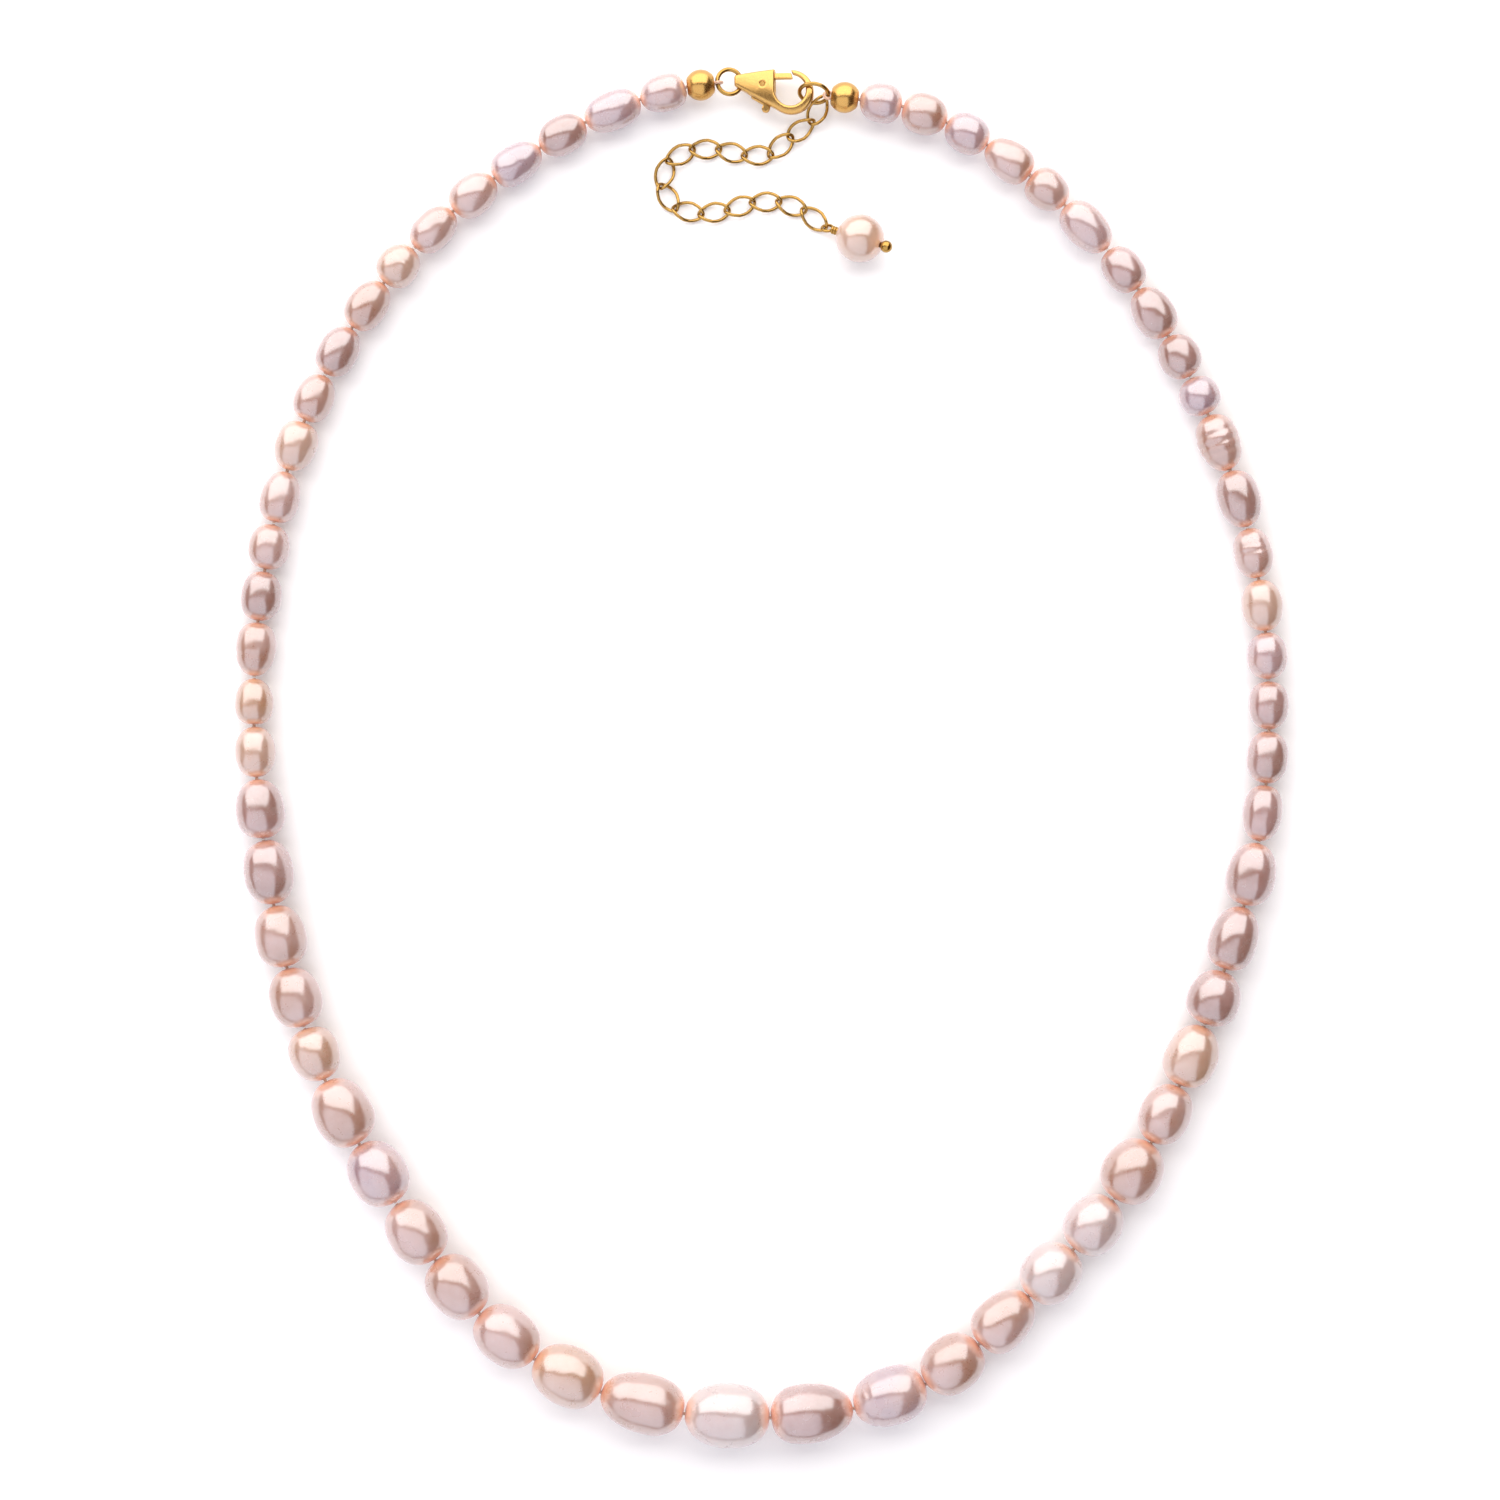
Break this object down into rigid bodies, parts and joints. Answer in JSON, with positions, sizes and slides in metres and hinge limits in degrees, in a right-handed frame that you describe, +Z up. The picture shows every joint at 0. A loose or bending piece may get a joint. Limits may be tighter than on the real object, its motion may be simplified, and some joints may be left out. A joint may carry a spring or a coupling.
{
  "type": "pearl necklace",
  "caption": "Strand of graded pink freshwater pearls with a gold-coloured lobster clasp, an extender chain and a drop pearl.",
  "frame": {"origin": "centre of the necklace's box as it lies fastened on a table, at table height", "axes": "+Y from the front pearl towards the clasp, +X to the right seen from above, +Z up"},
  "size_m": [0.1298, 0.1698, 0.008],
  "materials": {
    "strand_pearls": "lustrous pink, peach and mauve nacre",
    "drop_pearl": "round, high-lustre pink-peach pearl",
    "thread": "twisted beading silk",
    "gold_cover": "mirror-polished gold-coloured metal",
    "gold_crimp": "pressed gold-coloured tube",
    "gold_clasp": "tumble-polished gold-coloured casting",
    "gold_chain": "bright gold-coloured drawn wire",
    "gold_wire": "bright gold-coloured drawn wire",
    "spring_steel": "fine drawn spring wire"
  },
  "bodies": {
    "front": {"pearls_front": "strand_pearls", "thread_front": "thread"},
    "left_1": {"pearls_left_1": "strand_pearls", "thread_left_1": "thread"},
    "left_2": {"pearls_left_2": "strand_pearls", "thread_left_2": "thread"},
    "left_3": {"pearls_left_3": "strand_pearls", "thread_left_3": "thread"},
    "left_4": {"pearls_left_4": "strand_pearls", "thread_left_4": "thread"},
    "left_5": {"pearls_left_5": "strand_pearls", "thread_left_5": "thread"},
    "left_6": {"pearls_left_6": "strand_pearls", "thread_left_6": "thread"},
    "left_7": {"pearls_left_7": "strand_pearls", "thread_left_7": "thread", "crimp_cover_left": "gold_cover", "crimp_left": "gold_crimp"},
    "right_1": {"pearls_right_1": "strand_pearls", "thread_right_1": "thread"},
    "right_2": {"pearls_right_2": "strand_pearls", "thread_right_2": "thread"},
    "right_3": {"pearls_right_3": "strand_pearls", "thread_right_3": "thread"},
    "right_4": {"pearls_right_4": "strand_pearls", "thread_right_4": "thread"},
    "right_5": {"pearls_right_5": "strand_pearls", "thread_right_5": "thread"},
    "right_6": {"pearls_right_6": "strand_pearls", "thread_right_6": "thread"},
    "right_7": {"pearls_right_7": "strand_pearls", "thread_right_7": "thread", "crimp_cover_right": "gold_cover", "crimp_right": "gold_crimp"},
    "jump_ring": {"jump_ring": "gold_wire"},
    "clasp": {"clasp_body": "gold_clasp", "clasp_pin": "gold_clasp", "clasp_spring": "spring_steel"},
    "lever": {"clasp_lever": "gold_clasp"},
    "extender_ring": {"extender_ring": "gold_wire"},
    "link_01": {"chain_link_01": "gold_chain"},
    "link_02": {"chain_link_02": "gold_chain"},
    "link_03": {"chain_link_03": "gold_chain"},
    "link_04": {"chain_link_04": "gold_chain"},
    "link_05": {"chain_link_05": "gold_chain"},
    "link_06": {"chain_link_06": "gold_chain"},
    "link_07": {"chain_link_07": "gold_chain"},
    "link_08": {"chain_link_08": "gold_chain"},
    "link_09": {"chain_link_09": "gold_chain"},
    "link_10": {"chain_link_10": "gold_chain"},
    "link_11": {"chain_link_11": "gold_chain"},
    "link_12": {"chain_link_12": "gold_chain"},
    "link_13": {"chain_link_13": "gold_chain"},
    "link_14": {"chain_link_14": "gold_chain"},
    "link_15": {"chain_link_15": "gold_chain"},
    "head_pin": {"head_pin": "gold_wire"},
    "drop_pearl": {"drop_pearl": "drop_pearl"}
  },
  "joints": [
    {"name": "right_bend_1", "type": "hinge", "parent": "front", "child": "right_1", "pos_m": [0, -0.05442, 0.00375], "axis": [1, 0, 0], "range_deg": [-20, 20]},
    {"name": "left_bend_1", "type": "hinge", "parent": "front", "child": "left_1", "pos_m": [0, -0.05442, 0.00375], "axis": [1, 0, 0], "range_deg": [-20, 20]},
    {"name": "right_bend_2", "type": "hinge", "parent": "right_1", "child": "right_2", "pos_m": [0, -0.03296, 0.0033], "axis": [1, 0, 0], "range_deg": [-20, 20]},
    {"name": "left_bend_2", "type": "hinge", "parent": "left_1", "child": "left_2", "pos_m": [0, -0.03296, 0.0033], "axis": [1, 0, 0], "range_deg": [-20, 20]},
    {"name": "right_bend_3", "type": "hinge", "parent": "right_2", "child": "right_3", "pos_m": [0, -0.01016, 0.0031], "axis": [1, 0, 0], "range_deg": [-20, 20]},
    {"name": "left_bend_3", "type": "hinge", "parent": "left_2", "child": "left_3", "pos_m": [0, -0.01016, 0.0031], "axis": [1, 0, 0], "range_deg": [-20, 20]},
    {"name": "right_bend_4", "type": "hinge", "parent": "right_3", "child": "right_4", "pos_m": [0, 0.00977, 0.0025], "axis": [1, 0, 0], "range_deg": [-20, 20]},
    {"name": "left_bend_4", "type": "hinge", "parent": "left_3", "child": "left_4", "pos_m": [0, 0.00977, 0.0025], "axis": [1, 0, 0], "range_deg": [-20, 20]},
    {"name": "right_bend_5", "type": "hinge", "parent": "right_4", "child": "right_5", "pos_m": [0, 0.02862, 0.00265], "axis": [1, 0, 0], "range_deg": [-20, 20]},
    {"name": "left_bend_5", "type": "hinge", "parent": "left_4", "child": "left_5", "pos_m": [0, 0.02862, 0.00265], "axis": [1, 0, 0], "range_deg": [-20, 20]},
    {"name": "right_bend_6", "type": "hinge", "parent": "right_5", "child": "right_6", "pos_m": [0, 0.04701, 0.0026], "axis": [1, 0, 0], "range_deg": [-20, 20]},
    {"name": "left_bend_6", "type": "hinge", "parent": "left_5", "child": "left_6", "pos_m": [0, 0.04701, 0.0026], "axis": [1, 0, 0], "range_deg": [-20, 20]},
    {"name": "right_bend_7", "type": "hinge", "parent": "right_6", "child": "right_7", "pos_m": [0, 0.06265, 0.0026], "axis": [1, 0, 0], "range_deg": [-20, 20]},
    {"name": "left_bend_7", "type": "hinge", "parent": "left_6", "child": "left_7", "pos_m": [0, 0.06265, 0.0026], "axis": [1, 0, 0], "range_deg": [-20, 20]},
    {"name": "jump_ring_spin", "type": "hinge", "parent": "left_7", "child": "jump_ring", "pos_m": [-0.00389, 0.08329, 0.00215], "axis": [0.2275, 0.03, 0.9733], "continuous": true},
    {"name": "clasp_slide_round_ring", "type": "hinge", "parent": "left_7", "child": "clasp", "pos_m": [-0.00389, 0.08329, 0.00215], "axis": [0.2275, 0.03, 0.9733], "range_deg": [-1, 4]},
    {"name": "lever_open", "type": "hinge", "parent": "clasp", "child": "lever", "pos_m": [0.00027, 0.08291, 0.00208], "axis": [-0.1045, -0.0009, 0.9945], "range_deg": [-14, 0], "stiffness_Nm_per_rad": 0.0008, "springref_deg": 5.73},
    {"name": "extender_ring_turn", "type": "hinge", "parent": "right_7", "child": "extender_ring", "pos_m": [0.00862, 0.08153, 0.0025], "axis": [-0.9909, 0.1343, 0], "range_deg": [-10, 2]},
    {"name": "link_01_bend", "type": "hinge", "parent": "extender_ring", "child": "link_01", "pos_m": [0.00779, 0.08142, 0.00134], "axis": [0, 0, 1], "range_deg": [-5, 12]},
    {"name": "link_02_bend", "type": "hinge", "parent": "link_01", "child": "link_02", "pos_m": [0.00631, 0.07852, 0.001], "axis": [0.5736, -0.8192, 0], "range_deg": [-12, 12]},
    {"name": "link_03_bend", "type": "hinge", "parent": "link_02", "child": "link_03", "pos_m": [0.00364, 0.07665, 0.0008], "axis": [0, 0, -1], "range_deg": [-10, 10]},
    {"name": "link_04_bend", "type": "hinge", "parent": "link_03", "child": "link_04", "pos_m": [0.00121, 0.07446, 0.00062], "axis": [-0.0175, 0.9998, 0], "range_deg": [-5, 5]},
    {"name": "link_05_bend", "type": "hinge", "parent": "link_04", "child": "link_05", "pos_m": [-0.00206, 0.07441, 0.00062], "axis": [0, 0, 1], "range_deg": [-12, 12]},
    {"name": "link_06_bend", "type": "hinge", "parent": "link_05", "child": "link_06", "pos_m": [-0.00523, 0.0752, 0.00062], "axis": [0, -1, 0], "range_deg": [-12, 12]},
    {"name": "link_07_bend", "type": "hinge", "parent": "link_06", "child": "link_07", "pos_m": [-0.0085, 0.0752, 0.00062], "axis": [0, 0, -1], "range_deg": [-12, 12]},
    {"name": "link_08_bend", "type": "hinge", "parent": "link_07", "child": "link_08", "pos_m": [-0.01144, 0.07376, 0.00062], "axis": [0, 0, 1], "range_deg": [-12, 2]},
    {"name": "link_09_bend", "type": "hinge", "parent": "link_08", "child": "link_09", "pos_m": [-0.01234, 0.07062, 0.00062], "axis": [-0.848, -0.5299, 0], "range_deg": [-4, 4]},
    {"name": "link_10_bend", "type": "hinge", "parent": "link_09", "child": "link_10", "pos_m": [-0.01061, 0.06785, 0.00062], "axis": [0, 0, -1], "range_deg": [-2, 12]},
    {"name": "link_11_bend", "type": "hinge", "parent": "link_10", "child": "link_11", "pos_m": [-0.00741, 0.06717, 0.00062], "axis": [-0.1392, 0.9903, 0], "range_deg": [-12, 12]},
    {"name": "link_12_bend", "type": "hinge", "parent": "link_11", "child": "link_12", "pos_m": [-0.00417, 0.06762, 0.00062], "axis": [0, 0, 1], "range_deg": [-12, 12]},
    {"name": "link_13_bend", "type": "hinge", "parent": "link_12", "child": "link_13", "pos_m": [-0.00106, 0.06863, 0.00062], "axis": [0.0349, -0.9994, 0], "range_deg": [-12, 12]},
    {"name": "link_14_bend", "type": "hinge", "parent": "link_13", "child": "link_14", "pos_m": [0.00221, 0.06875, 0.00062], "axis": [0, 0, -1], "range_deg": [-12, 10]},
    {"name": "link_15_bend", "type": "hinge", "parent": "link_14", "child": "link_15", "pos_m": [0.0053, 0.06768, 0.00062], "axis": [0.6428, 0.766, 0], "range_deg": [-12, 12]},
    {"name": "drop_swing", "type": "hinge", "parent": "link_15", "child": "head_pin", "pos_m": [0.0078, 0.06558, 0.00062], "axis": [0, 0, 1], "range_deg": [-12, 3]},
    {"name": "drop_pearl_spin", "type": "hinge", "parent": "head_pin", "child": "drop_pearl", "pos_m": [0.01219, 0.0639, 0.003], "axis": [0.8328, -0.3197, 0.452], "continuous": true}
  ],
  "couplings": [
    {"joint": "left_bend_1", "follows": "right_bend_1", "ratio": 1},
    {"joint": "left_bend_2", "follows": "right_bend_2", "ratio": 1},
    {"joint": "left_bend_3", "follows": "right_bend_3", "ratio": 1},
    {"joint": "left_bend_4", "follows": "right_bend_4", "ratio": 1},
    {"joint": "left_bend_5", "follows": "right_bend_5", "ratio": 1},
    {"joint": "left_bend_6", "follows": "right_bend_6", "ratio": 1},
    {"joint": "left_bend_7", "follows": "right_bend_7", "ratio": 1}
  ]
}
